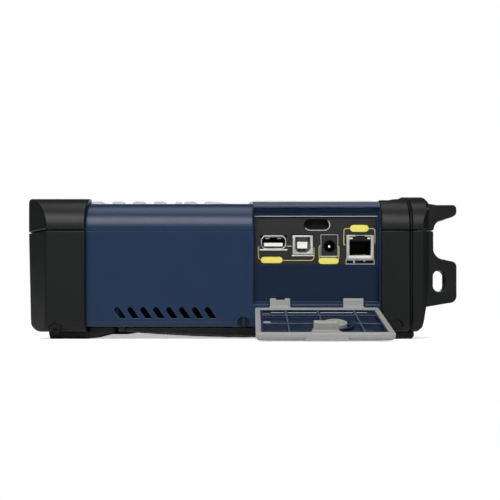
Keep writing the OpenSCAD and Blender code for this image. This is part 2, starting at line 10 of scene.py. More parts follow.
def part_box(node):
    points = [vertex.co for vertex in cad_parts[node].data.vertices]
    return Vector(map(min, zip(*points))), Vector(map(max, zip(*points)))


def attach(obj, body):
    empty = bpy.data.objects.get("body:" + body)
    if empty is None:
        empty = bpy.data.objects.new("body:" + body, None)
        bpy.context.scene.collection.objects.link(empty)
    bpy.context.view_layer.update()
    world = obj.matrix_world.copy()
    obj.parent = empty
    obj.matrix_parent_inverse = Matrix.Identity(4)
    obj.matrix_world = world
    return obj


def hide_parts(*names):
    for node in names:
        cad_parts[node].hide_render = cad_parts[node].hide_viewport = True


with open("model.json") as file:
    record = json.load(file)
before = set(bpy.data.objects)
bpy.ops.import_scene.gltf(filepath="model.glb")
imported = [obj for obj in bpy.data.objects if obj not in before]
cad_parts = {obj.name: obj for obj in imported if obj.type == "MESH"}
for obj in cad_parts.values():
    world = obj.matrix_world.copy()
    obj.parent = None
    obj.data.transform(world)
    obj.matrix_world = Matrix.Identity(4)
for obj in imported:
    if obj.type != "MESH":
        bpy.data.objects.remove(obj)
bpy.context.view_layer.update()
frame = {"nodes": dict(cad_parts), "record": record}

# Places and sizes are in mm: u runs from the instrument's bottom end to its test ports, v inwards from
# the wall on the port side and z up from the feet. Bump depths and light sizes are in metres.

MM = 0.001
CASE_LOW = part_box("lower_case")[0]
CASE_U0 = 3.6  # where the blue case starts along u
NODE_SLOT = {row["node"]: row["material_slot"] for row in frame["record"]["subparts"]}
NODE_BODY = {n: b for b, ns in frame["record"]["behaviour"]["bodies"].items() for n in ns}
SHARP = 32     # degrees between two faces above which their edge stays sharp


def at(u, v, z):
    """The frame's point, in metres, for a place in mm."""
    return Vector((CASE_LOW.x + (u - CASE_U0) * MM, CASE_LOW.y + v * MM, z * MM))


# ---------------------------------------------------------------- material nodes

def new_material(name):
    """A new material with its node tree and its shader."""
    mat = bpy.data.materials.new(name)
    mat.use_nodes = True
    tree = mat.node_tree
    shader = next(n for n in tree.nodes if n.type == "BSDF_PRINCIPLED")
    return mat, tree, shader


def object_coords(tree):
    return tree.nodes.new("ShaderNodeTexCoord").outputs["Object"]


def noise(tree, scale, detail=3.0, stretch=(1, 1, 1)):
    """Noise with about scale cells per metre, finer along the axes that stretch raises."""
    mapping = tree.nodes.new("ShaderNodeMapping")
    mapping.inputs["Scale"].default_value = stretch
    tex = tree.nodes.new("ShaderNodeTexNoise")
    tex.inputs["Scale"].default_value = scale
    tex.inputs["Detail"].default_value = detail
    tree.links.new(object_coords(tree), mapping.inputs["Vector"])
    tree.links.new(mapping.outputs["Vector"], tex.inputs["Vector"])
    return tex.outputs["Fac"]


def ramp(tree, source, stops):
    """A colour ramp over source; each stop is (place, colour)."""
    node = tree.nodes.new("ShaderNodeValToRGB")
    for element, (place_along, color) in zip(node.color_ramp.elements, stops):
        element.position = place_along
        element.color = color
    tree.links.new(source, node.inputs["Fac"])
    return node.outputs["Color"]


def grey(value):
    return (value, value, value, 1)


def shade(color, factor):
    """The colour made lighter or darker by factor."""
    return tuple(min(1.0, c * factor) for c in color[:3]) + (1,)


def math_node(tree, operation, a, b):
    """One math node; a and b are outputs or plain numbers."""
    node = tree.nodes.new("ShaderNodeMath")
    node.operation = operation
    for socket, value in zip(node.inputs, (a, b)):
        if isinstance(value, (int, float)):
            socket.default_value = value
        else:
            tree.links.new(value, socket)
    return node.outputs["Value"]


def mix_color(tree, factor, a, b):
    """Mixes two colours; each of factor, a and b is an output or a plain value."""
    node = tree.nodes.new("ShaderNodeMix")
    node.data_type = "RGBA"
    sockets = [node.inputs["Factor"]] + [s for s in node.inputs if s.type == "RGBA"]
    for socket, value in zip(sockets, (factor, a, b)):
        if isinstance(value, (float, tuple)):
            socket.default_value = value
        else:
            tree.links.new(value, socket)
    return next(s for s in node.outputs if s.type == "RGBA")


def add_bump(tree, shader, heights):
    """Chains bumps; each is (height output, strength, depth)."""
    normal = None
    for height, strength, depth in heights:
        node = tree.nodes.new("ShaderNodeBump")
        node.inputs["Strength"].default_value = strength
        node.inputs["Distance"].default_value = depth
        tree.links.new(height, node.inputs["Height"])
        if normal is not None:
            tree.links.new(normal, node.inputs["Normal"])
        normal = node.outputs["Normal"]
    tree.links.new(normal, shader.inputs["Normal"])


def edge_mask(tree, radius):
    """White along edges, where the rounded normal leaves the true one."""
    rounded = tree.nodes.new("ShaderNodeBevel")
    rounded.samples = 4
    rounded.inputs["Radius"].default_value = radius
    geometry = tree.nodes.new("ShaderNodeNewGeometry")
    dot = tree.nodes.new("ShaderNodeVectorMath")
    dot.operation = "DOT_PRODUCT"
    tree.links.new(rounded.outputs["Normal"], dot.inputs[0])
    tree.links.new(geometry.outputs["Normal"], dot.inputs[1])
    return ramp(tree, dot.outputs["Value"], [(0.72, grey(1)), (0.98, grey(0))])


# ---------------------------------------------------------------- materials

def moulded(name, color, rough=0.5, grain=2600, wear=0.35, blotch=0.12, specular=0.5, sheen=0.0):
    """Moulded plastic or rubber: spark grain, faint blotches, paler worn edges and fine scratches.

    grain is the scale of the spark grain, wear how far edges pale, blotch how far the colour varies. The pale
    edges are wear, and on the door's blue also painted highlights along its ribs and edges.
    """
    mat, tree, shader = new_material(name)
    specks = noise(tree, grain, 2)
    blotches = noise(tree, 55, 4)
    base = ramp(tree, blotches, [(0.3, shade(color, 1 - blotch)), (0.7, shade(color, 1 + blotch))])
    speckled = ramp(tree, specks, [(0.35, shade(color, 0.82)), (0.65, shade(color, 1.18))])
    base = mix_color(tree, 0.35, base, speckled)
    if wear:
        worn = shade(tuple(c * 0.6 + 0.06 for c in color), 1.35)
        patches = ramp(tree, noise(tree, 160, 5), [(0.42, grey(0)), (0.75, grey(wear))])
        # Paler edges: wear, and on the door's blue painted highlights along its ribs and edges.
        edge_wear_and_highlight = math_node(tree, "MULTIPLY", edge_mask(tree, 0.0006), patches)
        base = mix_color(tree, edge_wear_and_highlight, base, worn)
    tree.links.new(base, shader.inputs["Base Color"])
    roughness = ramp(tree, noise(tree, 90, 6), [(0.2, grey(rough - 0.02)), (0.8, grey(rough + 0.03))])
    tree.links.new(roughness, shader.inputs["Roughness"])
    shader.inputs["Specular IOR Level"].default_value = specular
    if sheen:
        shader.inputs["Sheen Weight"].default_value = sheen
        shader.inputs["Sheen Roughness"].default_value = 0.5
    scratches = noise(tree, 40, 8, (1, 14, 14))
    add_bump(tree, shader, [(specks, 0.55, 0.00003), (scratches, 0.08, 0.00004)])
    return mat


def metal(name, color, rough, brushed=(1, 1, 1), brush_scale=900, tarnish=0.25):
    """Plated or brushed metal with fine lines and dull patches."""
    mat, tree, shader = new_material(name)
    base = ramp(tree, noise(tree, 90, 2), [(0.3, shade(color, 1 - tarnish)), (0.65, shade(color, 1.05))])
    tree.links.new(base, shader.inputs["Base Color"])
    shader.inputs["Metallic"].default_value = 1.0
    lines = noise(tree, brush_scale, 4, brushed)
    roughness = ramp(tree, lines, [(0.3, grey(rough - 0.05)), (0.7, grey(rough + 0.07))])
    tree.links.new(roughness, shader.inputs["Roughness"])
    add_bump(tree, shader, [(lines, 0.06, 0.000003)])
    return mat


def webbing(name, color, pitch=0.0013):
    """Woven webbing: crossed waves for the yarns, a pitch apart, and fuzz over them."""
    mat, tree, shader = new_material(name)
    waves = []
    for direction in ("X", "Y"):
        wave = tree.nodes.new("ShaderNodeTexWave")
        wave.bands_direction = direction
        wave.inputs["Scale"].default_value = 2 * math.pi / (20 * pitch)
        wave.inputs["Distortion"].default_value = 0.6
        wave.inputs["Detail Scale"].default_value = 3.0
        tree.links.new(object_coords(tree), wave.inputs["Vector"])
        waves.append(wave.outputs["Fac"])
    weave = math_node(tree, "MULTIPLY", *waves)
    base = ramp(tree, weave, [(0.0, shade(color, 0.45)), (0.6, shade(color, 1.25))])
    fuzz = ramp(tree, noise(tree, 1800, 3), [(0.3, shade(color, 0.6)), (0.7, shade(color, 1.6))])
    tree.links.new(mix_color(tree, 0.3, base, fuzz), shader.inputs["Base Color"])
    shader.inputs["Roughness"].default_value = 0.92
    shader.inputs["Sheen Weight"].default_value = 0.35
    shader.inputs["Sheen Roughness"].default_value = 0.6
    add_bump(tree, shader, [(weave, 0.8, 0.0003), (noise(tree, 2400, 2), 0.3, 0.00008)])
    return mat


def solder_mask(name, color):
    """A circuit board: green mask with paler tracks under it."""
    mat, tree, shader = new_material(name)
    brick = tree.nodes.new("ShaderNodeTexBrick")
    brick.inputs["Scale"].default_value = 260
    brick.inputs["Mortar Size"].default_value = 0.03
    brick.inputs["Color1"].default_value = shade(color, 0.8)
    brick.inputs["Color2"].default_value = shade(color, 1.15)
    brick.inputs["Mortar"].default_value = shade(color, 2.2)
    tree.links.new(object_coords(tree), brick.inputs["Vector"])
    tree.links.new(brick.outputs["Color"], shader.inputs["Base Color"])
    roughness = ramp(tree, noise(tree, 200), [(0.3, grey(0.25)), (0.7, grey(0.4))])
    tree.links.new(roughness, shader.inputs["Roughness"])
    add_bump(tree, shader, [(brick.outputs["Fac"], 0.3, 0.00005)])
    return mat


def window(name, color):
    """The tinted display window: near black, glossy, faint smears and dust."""
    mat, tree, shader = new_material(name)
    base = ramp(tree, noise(tree, 12, 6), [(0.3, shade(color, 0.9)), (0.7, shade(color, 1.2))])
    tree.links.new(base, shader.inputs["Base Color"])
    roughness = ramp(tree, noise(tree, 22, 9), [(0.35, grey(0.04)), (0.72, grey(0.13))])
    tree.links.new(roughness, shader.inputs["Roughness"])
    shader.inputs["Coat Weight"].default_value = 0.6
    shader.inputs["Coat Roughness"].default_value = 0.03
    add_bump(tree, shader, [(noise(tree, 30, 2), 0.02, 0.0001)])
    return mat


# Each row gives a colour and what differs from the defaults above.
MOULDED = {
    "case_blue": dict(color=(0.0040, 0.0180, 0.0510), rough=0.30, specular=0.30),
    # A darker copy of the case's blue: painted shade for the recessed bay below the port plate.
    "bay_shade_blue": dict(color=(0.0014, 0.0105, 0.0300), rough=0.30, wear=0.0, specular=0.22),
    # The door's blue is a darker, shaded copy of the case's blue, and its strong pale edges paint the
    # highlights along the door's ribs.
    "door_blue_painted_light": dict(color=(0.0028, 0.0105, 0.034), rough=0.32, wear=0.6, specular=0.25),
    # Painted highlights on the door: pale blue on the lit rib edges, pale blue-grey on the strips along the
    # upper rib and on the lower rest pad, dimmer blue-grey on the upper rest pad.
    "rib_highlight_blue": dict(color=(0.040, 0.070, 0.125), rough=0.35, wear=0.0),
    "pale_highlight": dict(color=(0.32, 0.36, 0.43), rough=0.4, wear=0.0, blotch=0.15),
    "dim_highlight": dict(color=(0.05, 0.07, 0.10), rough=0.4, wear=0.0),
    "bumper_black": dict(color=(0.0042, 0.0054, 0.0045), rough=0.36, grain=3600, wear=0.2, specular=0.20),
    "foot_rubber": dict(color=(0.010, 0.010, 0.010), rough=0.75, grain=2200, wear=0.0),
    "cover_black": dict(color=(0.018, 0.019, 0.019), grain=2400),
    "battery_black": dict(color=(0.02, 0.02, 0.024), rough=0.4),
    "fan_black": dict(color=(0.010, 0.010, 0.011), rough=0.45, wear=0.0),
    "seal_grey": dict(color=(0.245, 0.248, 0.240), rough=0.62, grain=3200, wear=0.0, blotch=0.06, sheen=0.1),
    "seal_shadow": dict(color=(0.035, 0.036, 0.035), rough=0.6, grain=3200, wear=0.0),
    "fascia_grey": dict(color=(0.045, 0.05, 0.056), grain=3000),
    "bezel_grey": dict(color=(0.42, 0.43, 0.44), rough=0.45, wear=0.0, blotch=0.04),
    "key_rubber": dict(color=(0.56, 0.565, 0.57), rough=0.62, grain=4200, wear=0.0, blotch=0.04, sheen=0.1),
    "ink": dict(color=(0.03, 0.04, 0.06), grain=4200, wear=0.0),
    "border_ink": dict(color=(0.004, 0.004, 0.005), rough=0.25, grain=4200, wear=0.0),
    "panel_black": dict(color=(0.0042, 0.0048, 0.0043), grain=4200, wear=0.1, specular=0.3),
    "label_yellow": dict(color=(0.64, 0.58, 0.10), wear=0.0, blotch=0.06),
    "printed_line": dict(color=(0.42, 0.37, 0.13), grain=4200, wear=0.0, blotch=0.08),
    # Near black: partly the parts' own black, partly painted shade inside sockets, holes, slots and openings,
    # in the round notch beside the bay and at the left hinge arm.
    "socket_dark": dict(color=(0.004, 0.004, 0.004), rough=0.6, grain=4200, wear=0.0, specular=0.15),
    "socket_grey": dict(color=(0.14, 0.14, 0.14), grain=4200, wear=0.0, specular=0.3),
    "white_plastic": dict(color=(0.68, 0.68, 0.66), rough=0.4, grain=4200, wear=0.0, blotch=0.03),
    "led_cream": dict(color=(0.75, 0.72, 0.58), rough=0.25, grain=4200, wear=0.0, blotch=0.03),
    # A pale grey that paints highlights: along the top of the port plate, round the latch hole's lower and
    # right edge, and as the lit outlines of the power jack and of the bracket under the network socket.
    "pale_edge_highlight": dict(color=(0.42, 0.43, 0.43), rough=0.35, grain=4200, wear=0.0, blotch=0.1),
    "dark_steel": dict(color=(0.02, 0.02, 0.021), rough=0.35, grain=4200, wear=0.4),
    "end_panel_metal": dict(color=(0.022, 0.023, 0.025), rough=0.42, grain=5200, wear=0.5),
    "plate_foil": dict(color=(0.30, 0.31, 0.32), rough=0.35, grain=4200, wear=0.0, blotch=0.05),
    "thread": dict(color=(0.09, 0.09, 0.09), rough=0.8, grain=4200, wear=0.0),
}
TRIM_LINES = {"brushed": (1, 1, 6), "brush_scale": 500}
METALS = {
    "sheet_steel": dict(color=(0.5, 0.5, 0.5), rough=0.35, brushed=(1, 20, 1)),
    "shield_metal": dict(color=(0.72, 0.72, 0.72), rough=0.35, brushed=(20, 1, 1)),
    "screw_steel": dict(color=(0.30, 0.30, 0.31), rough=0.3, brush_scale=1200),
    "port_metal": dict(color=(0.72, 0.70, 0.66), rough=0.18, brush_scale=700, tarnish=0.15),
    "socket_steel": dict(color=(0.66, 0.65, 0.62), rough=0.32, tarnish=0.12, **TRIM_LINES),
    # Bright steel: the power jack's centre pin, and painted highlights on the sockets' lower lips and along
    # the lower and right edge of the square socket.
    "bright_steel_and_highlight": dict(color=(0.86, 0.85, 0.81), rough=0.36, tarnish=0.08, **TRIM_LINES),
    "gold": dict(color=(0.83, 0.60, 0.24), rough=0.22, brushed=(1, 6, 1), brush_scale=1500, tarnish=0.12),
}
MATERIALS = {name: moulded(name, **look) for name, look in MOULDED.items()}
MATERIALS.update({name: metal(name, **look) for name, look in METALS.items()})
MATERIALS["strap_fabric"] = webbing("strap_fabric", (0.030, 0.031, 0.031))
MATERIALS["circuit_board"] = solder_mask("circuit_board", (0.015, 0.13, 0.05))
MATERIALS["window_glass"] = window("window_glass", (0.006, 0.008, 0.010))


# ---------------------------------------------------------------- pieces and CAD copies

def link_mesh(name, mesh):
    obj = bpy.data.objects.new(name, mesh)
    bpy.context.scene.collection.objects.link(obj)
    return obj


def mark_sharp(bm, degrees):
    """Smooth faces, with sharp edges where two faces meet at more than degrees."""
    limit = math.radians(degrees)
    for face in bm.faces:
        face.smooth = True
    for edge in bm.edges:
        edge.smooth = len(edge.link_faces) == 2 and edge.calc_face_angle(0.0) < limit


def rounded_edges(obj, width, segments=2):
    """Rounds every sharp edge by width, in metres, and keeps flat faces flat."""
    bevel = obj.modifiers.new("bevel", "BEVEL")
    bevel.width = width
    bevel.segments = segments
    bevel.limit_method = "ANGLE"
    bevel.angle_limit = math.radians(SHARP)
    bevel.use_clamp_overlap = False
    bevel.loop_slide = False
    weighted = obj.modifiers.new("weighted", "WEIGHTED_NORMAL")
    weighted.keep_sharp = True
    graph = bpy.context.evaluated_depsgraph_get()
    mesh = bpy.data.meshes.new_from_object(obj.evaluated_get(graph))
    obj.modifiers.clear()
    obj.data = mesh


def finish_piece(obj, body, slot, finish=None):
    """Gives a piece its slot's material, or the one named by finish, and ties it to its body."""
    obj.data.materials.clear()
    obj.data.materials.append(MATERIALS[finish or slot])
    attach(obj, body)


def cad_copy(node):
    """A clean copy of a CAD node's mesh: corners joined, flat faces whole."""
    bm = bmesh.new()
    bm.from_mesh(frame["nodes"][node].data)
    bmesh.ops.remove_doubles(bm, verts=bm.verts, dist=2e-7)
    bmesh.ops.join_triangles(bm, faces=bm.faces, angle_face_threshold=0.002, angle_shape_threshold=3.1)
    mark_sharp(bm, SHARP)
    mesh = bpy.data.meshes.new(node + "_mesh")
    bm.to_mesh(mesh)
    bm.free()
    return mesh


def pull_back(piece, source, reach):
    """Brings back to the surface any corner that the rounding threw off it."""
    tree = BVHTree.FromPolygons([v.co for v in source.vertices], [p.vertices for p in source.polygons])
    for vertex in piece.data.vertices:
        spot, _, _, gap = tree.find_nearest(vertex.co)
        if gap > reach:
            vertex.co = spot


# The door gets a darker, shaded copy of the case's blue whose pale edges paint highlights on its ribs; the
# strap anchors get dark steel.
NODE_FINISH = {"port_door": "door_blue_painted_light", "strap_anchors": "dark_steel"}
SOFT_EDGES = {
    "upper_case": 0.35, "lower_case": 0.35,
    "bottom_bumper_upper": 0.7, "bottom_bumper_lower": 0.7, "top_bumper_upper": 0.6, "top_bumper_lower": 0.6,
    "keypad_fascia": 0.15, "display_bezel": 0.4, "display_window": 0.2,
    "port_panel": 0.25, "usb_host_port": 0.2, "usb_device_port": 0.25, "dc_jack": 0.15, "lan_port": 0.25,
    "port_door": 0.2, "door_seal": 0.5, "strap_anchors": 0.4, "battery_cover": 0.4,
    "rubber_feet": 0.6, "rf_end_panel": 0.3,
}
KEY_EDGE = 0.35


def softened(node, width, segments=2):
    """The CAD node with its edges rounded by width, standing for it."""
    piece = link_mesh(node + "_shell", cad_copy(node))
    rounded_edges(piece, width * MM, segments)
    pull_back(piece, frame["nodes"][node].data, 0.6 * width * MM)
    finish_piece(piece, NODE_BODY[node], NODE_SLOT[node], NODE_FINISH.get(node))
    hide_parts(node)


# ---------------------------------------------------------------- camera, floor, lights

def make_camera():
    """The main view: level, 10 mm above the floor and 400 mm in front of the port side."""
    data = bpy.data.cameras.new("camera")
    data.sensor_width = 36
    data.lens = 53.7
    data.shift_y = 0.14
    camera = bpy.data.objects.new("camera", data)
    bpy.context.scene.collection.objects.link(camera)
    camera.location = at(123, -400, 10.3)
    camera.rotation_euler = (math.radians(90), 0, 0)
    bpy.context.scene.camera = camera


def floor_material():
    """A pale matt floor. It glows to the camera alone, and more with distance, so its end isn't seen."""
    mat, tree, shader = new_material("floor")
    base = ramp(tree, noise(tree, 6), [(0.3, grey(0.90)), (0.7, grey(0.94))])
    tree.links.new(base, shader.inputs["Base Color"])
    shader.inputs["Roughness"].default_value = 0.95
    shader.inputs["Specular IOR Level"].default_value = 0.1
    shader.inputs["Emission Color"].default_value = (1, 1, 1, 1)
    reach = tree.nodes.new("ShaderNodeVectorMath")
    reach.operation = "LENGTH"
    tree.links.new(object_coords(tree), reach.inputs[0])
    fade_length = 5
    distance = math_node(tree, "DIVIDE", reach.outputs["Value"], fade_length)
    glow = ramp(tree, distance, [(0.12, grey(0.5)), (0.7, grey(0.95))])
    path = tree.nodes.new("ShaderNodeLightPath")
    strength = math_node(tree, "MULTIPLY", path.outputs["Is Camera Ray"], glow)
    tree.links.new(strength, shader.inputs["Emission Strength"])
    return mat


def make_floor():
    bm = bmesh.new()
    bmesh.ops.create_grid(bm, x_segments=1, y_segments=1, size=12)
    mesh = bpy.data.meshes.new("floor")
    bm.to_mesh(mesh)
    bm.free()
    mesh.materials.append(floor_material())
    floor = link_mesh("floor", mesh)


def make_world():
    """A white backdrop to the camera that lights the object only a little."""
    world = bpy.data.worlds.new("studio")
    bpy.context.scene.world = world
    world.use_nodes = True
    tree = world.node_tree
    dim = next(n for n in tree.nodes if n.type == "BACKGROUND")
    dim.inputs["Color"].default_value = (0.97, 0.98, 1.0, 1)
    dim.inputs["Strength"].default_value = 0.08
    bright = tree.nodes.new("ShaderNodeBackground")
    bright.inputs["Color"].default_value = (1, 1, 1, 1)
    bright.inputs["Strength"].default_value = 1.0
    path = tree.nodes.new("ShaderNodeLightPath")
    mix = tree.nodes.new("ShaderNodeMixShader")
    out = next(n for n in tree.nodes if n.type == "OUTPUT_WORLD")
    tree.links.new(path.outputs["Is Camera Ray"], mix.inputs[0])
    tree.links.new(dim.outputs[0], mix.inputs[1])
    tree.links.new(bright.outputs[0], mix.inputs[2])
    tree.links.new(mix.outputs[0], out.inputs["Surface"])


def add_light(name, kind, energy):
    light = bpy.data.lights.new(name, kind)
    light.energy = energy
    lamp = bpy.data.objects.new(name, light)
    bpy.context.scene.collection.objects.link(lamp)
    return light, lamp


def softbox(name, spot, size, energy):
    """A rectangular light that faces the middle of the object."""
    light, lamp = add_light(name, "AREA", energy)
    light.shape = "RECTANGLE"
    light.size, light.size_y = size
    lamp.location = spot
    lamp.rotation_euler = (Vector((0, 0, 0.04)) - Vector(spot)).to_track_quat("-Z", "Y").to_euler()


def make_stage():
    bpy.context.scene.view_settings.view_transform = "Standard"
    make_camera()
    make_floor()
    make_world()
    sun, _ = add_light("overhead", "SUN", 0.9)
    sun.angle = 0.7
    softbox("front_light", (-0.2, -1.12, 0.92), (1.6, 0.7), 25)
    softbox("back_light", (0.1, 1.7, 0.55), (2.4, 0.5), 8)


# ---------------------------------------------------------------- building blocks

def mesh_from(name, bm, degrees=SHARP):
    bmesh.ops.recalc_face_normals(bm, faces=bm.faces)
    mark_sharp(bm, degrees)
    mesh = bpy.data.meshes.new(name)
    bm.to_mesh(mesh)
    bm.free()
    return link_mesh(name, mesh)


def place(obj, body, slot, finish=None, soften=0.0):
    """Rounds the edges by soften, gives the material and ties the piece to its body."""
    if soften:
        rounded_edges(obj, soften * MM)
    finish_piece(obj, body, slot, finish)


def loop_walls(bm, rows):
    """Joins rows of corners, each a closed loop, by quads."""
    count = len(rows[0])
    for a, b in zip(rows, rows[1:]):
        for i in range(count):
            j = (i + 1) % count
            bm.faces.new((a[i], a[j], b[j], b[i]))


def add_corners(bm, rows):
    return [[bm.verts.new(at(*point)) for point in row] for row in rows]


def add_solid(bm, rows):
    """Joins rows of (u, v, z) by walls and closes the first and the last row."""
    corners = add_corners(bm, rows)
    loop_walls(bm, corners)
    bm.faces.new(corners[0])
    bm.faces.new(corners[-1])


def solid(name, rows, degrees=SHARP):
    bm = bmesh.new()
    add_solid(bm, rows)
    return mesh_from(name, bm, degrees)


def frame_of(name, rows):
    """Joins rows of (u, v, z) by walls, the last row to the first."""
    bm = bmesh.new()
    corners = add_corners(bm, rows)
    loop_walls(bm, corners + corners[:1])
    return mesh_from(name, bm)


def prism(name, outline, v0, v1):
    """A solid from an outline in (u, z), from v0 to v1."""
    return solid(name, [[(u, v, z) for u, z in outline] for v in (v0, v1)])


def plate(name, outline, z0, z1):
    """A solid from an outline in (u, v), from z0 up to z1."""
    return solid(name, [[(u, v, z) for u, v in outline] for z in (z0, z1)])


def ring(name, outer, inner, v0, v1):
    """A frame between two outlines in (u, z) with the same number of points."""
    sides = ((outer, v0), (inner, v0), (inner, v1), (outer, v1))
    return frame_of(name, [[(u, v, z) for u, z in outline] for outline, v in sides])


def box(name, low, high):
    (u0, v0, z0), (u1, v1, z1) = low, high
    return prism(name, [(u0, z0), (u1, z0), (u1, z1), (u0, z1)], v0, v1)


def rectangle(u0, z0, u1, z1, cut=0.0, inset=0.0):
    """Corners of a rectangle with cut corners, drawn inset all round."""
    u0, z0, u1, z1 = u0 + inset, z0 + inset, u1 - inset, z1 - inset
    c = max(cut - 0.59 * inset, 0.05)
    return [(u0 + c, z0), (u1 - c, z0), (u1, z0 + c), (u1, z1 - c),
            (u1 - c, z1), (u0 + c, z1), (u0, z1 - c), (u0, z0 + c)]


def arc(centre, radius, start, end, steps=6):
    """Points of an arc in degrees about a centre."""
    angles = [math.radians(start + (end - start) * i / steps) for i in range(steps + 1)]
    return [(centre[0] + radius * math.cos(a), centre[1] + radius * math.sin(a)) for a in angles]


def capsule(left, right, height, radius, steps):
    """A lying outline with two round ends, in (u, z)."""
    return arc((right, height), radius, -90, 90, steps) + arc((left, height), radius, 90, 270, steps)


def cross_axes(axis):
    """The axis and two directions across it, each one long."""
    axis = Vector(axis).normalized()
    side = axis.orthogonal().normalized()
    return axis, side, axis.cross(side)


def lathe(name, profile, centre, axis, steps=48):
    """Turns a closed profile of (radius, distance along the axis) about an axis through centre."""
    axis, side, other = cross_axes(axis)
    bm = bmesh.new()
    rows = []
    for radius, along in profile:
        spot = at(*centre) + axis * along * MM
        if radius == 0:
            rows.append([bm.verts.new(spot)] * steps)
            continue
        angles = [2 * math.pi * i / steps for i in range(steps)]
        around = [side * math.cos(a) + other * math.sin(a) for a in angles]
        rows.append([bm.verts.new(spot + way * radius * MM) for way in around])
    closed = rows if profile[0][0] == 0 else rows + rows[:1]
    for a, b in zip(closed, closed[1:]):
        for i in range(steps):
            j = (i + 1) % steps
            corners = list(dict.fromkeys((a[i], a[j], b[j], b[i])))
            if len(corners) > 2:
                bm.faces.new(corners)
    return mesh_from(name, bm)


def line_sides(points, width):
    """The points of both sides of a line, mitred at its corners."""
    left, right = [], []
    for i, point in enumerate(points):
        before = (point - points[i - 1]).normalized() if i else (points[1] - point).normalized()
        after = (points[i + 1] - point).normalized() if i < len(points) - 1 else before
        bend = (before + after).normalized()
        normal = Vector((-bend.y, bend.x)) / max(bend.dot(before), 0.5)
        left.append(point + normal * width / 2)
        right.append(point - normal * width / 2)
    return left, right


def ribbon(name, paths, width, v0, v1):
    """Thin raised lines along paths in (u, z)."""
    bm = bmesh.new()
    for path in paths:
        left, right = line_sides([Vector(p) for p in path], width)
        outline = left + right[::-1]
        corners = add_corners(bm, [[(p.x, v, p.y) for p in outline] for v in (v0, v1)])
        loop_walls(bm, corners)
        last = len(outline) - 1
        for row in corners:
            for i in range(len(path) - 1):
                bm.faces.new((row[i], row[i + 1], row[last - i - 1], row[last - i]))
    return mesh_from(name, bm)


# ---------------------------------------------------------------- the port panel and its sockets

PLATE = 5.6               # the plate's face along v
JACK_U, JACK_Z = 166.3, 50.4
LATCH_LEFT, LATCH_RIGHT, LATCH_Z = 155.5, 163.5, 62


def dark_liner(name, outline_of, v0, v1):
    """The unlit inside of a socket: a thin black sleeve with a closed end; outline_of takes an inset."""
    sleeve = ring(name, outline_of(0.02), outline_of(0.3), v0, v1)
    place(sleeve, "case", "panel_black", "socket_dark")
    end = prism(name + "_end", outline_of(0.25), v1 - 0.4, v1 - 0.05)
    place(end, "case", "panel_black", "socket_dark")


def usb_a_details():
    """Rolled rim, lower lip painted bright as its highlight, tongue with four contacts and two springs."""
    outer, inner = rectangle(128.8, 48.9, 142.8, 56.4, 1.9), rectangle(129.5, 49.4, 142.1, 55.6, 1.4)
    rim = ring("usb_a_rim", outer, inner, PLATE - 0.3, PLATE + 0.5)
    place(rim, "case", "socket_steel", soften=0.2)
    # The lower lip's bright steel paints its highlight.
    lip = box("usb_a_lip", (128.2, PLATE - 0.45, 48), (143.3, PLATE - 0.02, 48.85))
    place(lip, "case", "socket_steel", "bright_steel_and_highlight", soften=0.15)
    dark_liner("usb_a_liner", lambda inset: rectangle(129.5, 49.3, 142.1, 55.4, 0.6, inset), 6.6, 18.9)
    tongue = box("usb_a_tongue", (130.55, 6.5, 50.35), (140.85, 18.4, 52.35))
    place(tongue, "case", "socket_steel", "white_plastic", soften=0.2)
    for i in range(4):
        u = 131.9 + 2.55 * i
        contact = box("usb_a_contact_%d" % i, (u - 0.55, 7.6, 52.3), (u + 0.55, 17.5, 52.55))
        place(contact, "case", "port_metal", "gold", soften=0.05)
    for i, u in enumerate((132.6, 139)):
        spring = box("usb_a_spring_%d" % i, (u - 1.1, 6.2, 54.6), (u + 1.1, 12, 55.05))
        place(spring, "case", "socket_steel", soften=0.1)


def usb_b_outline(grown):
    """The socket's opening, square above with two cut corners below."""
    low, high = 46.9 - grown, 55.4 + grown
    left, right = 147.6 - grown, 155.9 + grown
    return [(149.6 - grown * 0.4, low), (153.9 + grown * 0.4, low), (right, 48.9 - grown * 0.4),
            (right, high), (left, high), (left, 48.9 - grown * 0.4)]


def usb_b_details():
    """Rim, a painted highlight along its lower and right edge, grey lining, the tongue with its contact slots
    and a lower lip painted bright as its highlight.
    """
    rim = ring("usb_b_rim", usb_b_outline(0.55), usb_b_outline(0.03), PLATE - 0.15, PLATE + 0.6)
    place(rim, "case", "socket_steel", soften=0.15)
    # A bright strip that paints the highlight along the rim's lower and right edge.
    glint = ribbon("usb_b_glint", [usb_b_outline(0.3)[:4]], 0.36, PLATE - 0.24, PLATE - 0.05)
    place(glint, "case", "socket_steel", "bright_steel_and_highlight")
    sleeve = ring("usb_b_liner", usb_b_outline(-0.02), usb_b_outline(-0.25), 6.5, 20.6)
    place(sleeve, "case", "panel_black", "socket_grey")
    end = prism("usb_b_end", usb_b_outline(-0.22), 9.4, 10)
    place(end, "case", "panel_black", "socket_grey")
    block = box("usb_b_tongue", (148.75, 6.7, 49.25), (154.35, 15, 52.95))
    place(block, "case", "socket_steel", "white_plastic", soften=0.3)
    for i, u in enumerate((149.9, 152.6)):
        hole = box("usb_b_contact_%d" % i, (u - 0.6, 8.6, 48.3), (u + 0.6, 13.9, 49.15))
        place(hole, "case", "panel_black", "socket_dark", soften=0.1)
    # The lower lip's bright steel paints its highlight.
    lip = box("usb_b_lip", (145.75, PLATE - 0.35, 44.95), (157.75, PLATE - 0.02, 45.6))
    place(lip, "case", "socket_steel", "bright_steel_and_highlight", soften=0.12)


